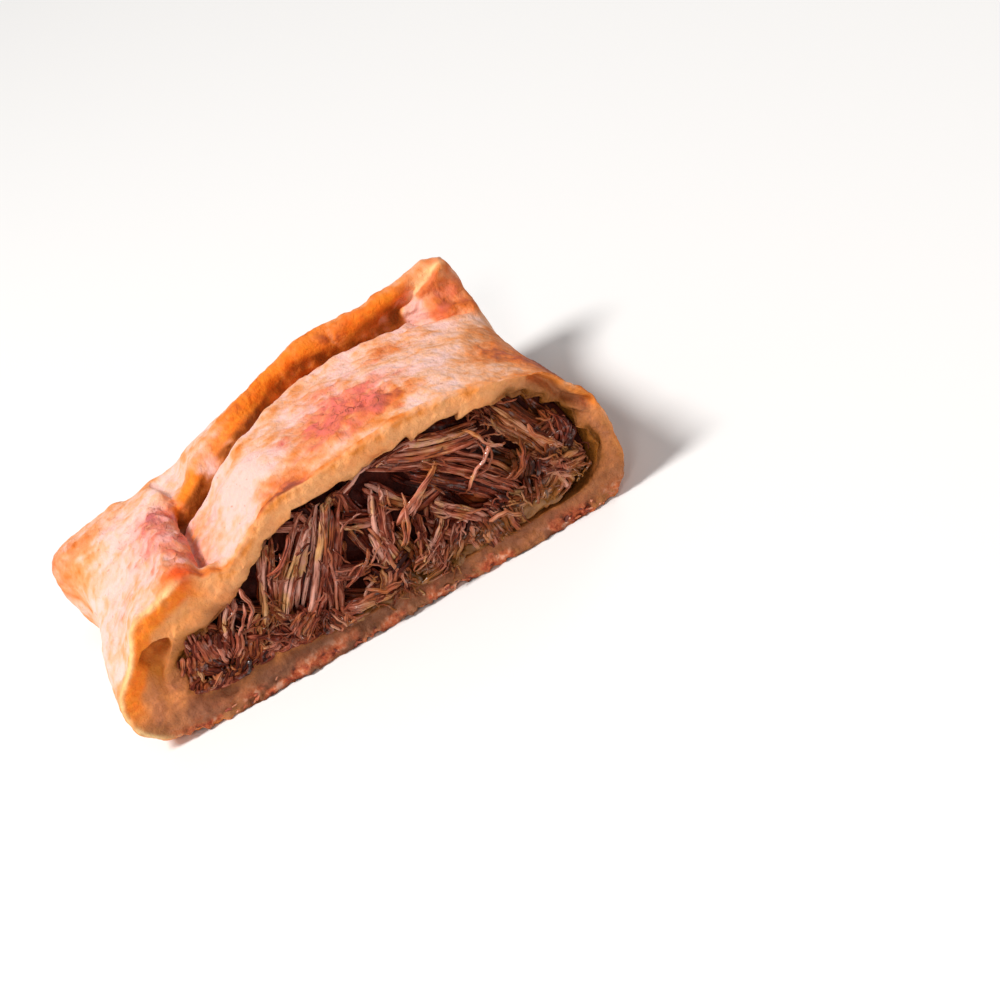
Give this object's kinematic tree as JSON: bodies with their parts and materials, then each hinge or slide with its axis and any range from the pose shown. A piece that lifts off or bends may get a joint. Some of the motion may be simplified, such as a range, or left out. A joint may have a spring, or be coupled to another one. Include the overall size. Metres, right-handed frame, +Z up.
{
  "type": "empanada half",
  "caption": "Half of a baked, fold-edged empanada, cut across: a browned pastry crust with a raised side flap and folded end around a shredded beef filling that shows at the cut.",
  "frame": {"origin": "middle of the flat base", "axes": "+X along the cut face towards the smooth side fold, +Y from the cut face to the folded end, +Z up"},
  "size_m": [0.1054, 0.0728, 0.0356],
  "materials": {
    "crust": "dry, browned, unevenly blistered",
    "filling": "moist"
  },
  "bodies": {
    "root": {"crust": "crust", "filling": "filling"}
  },
  "joints": []
}
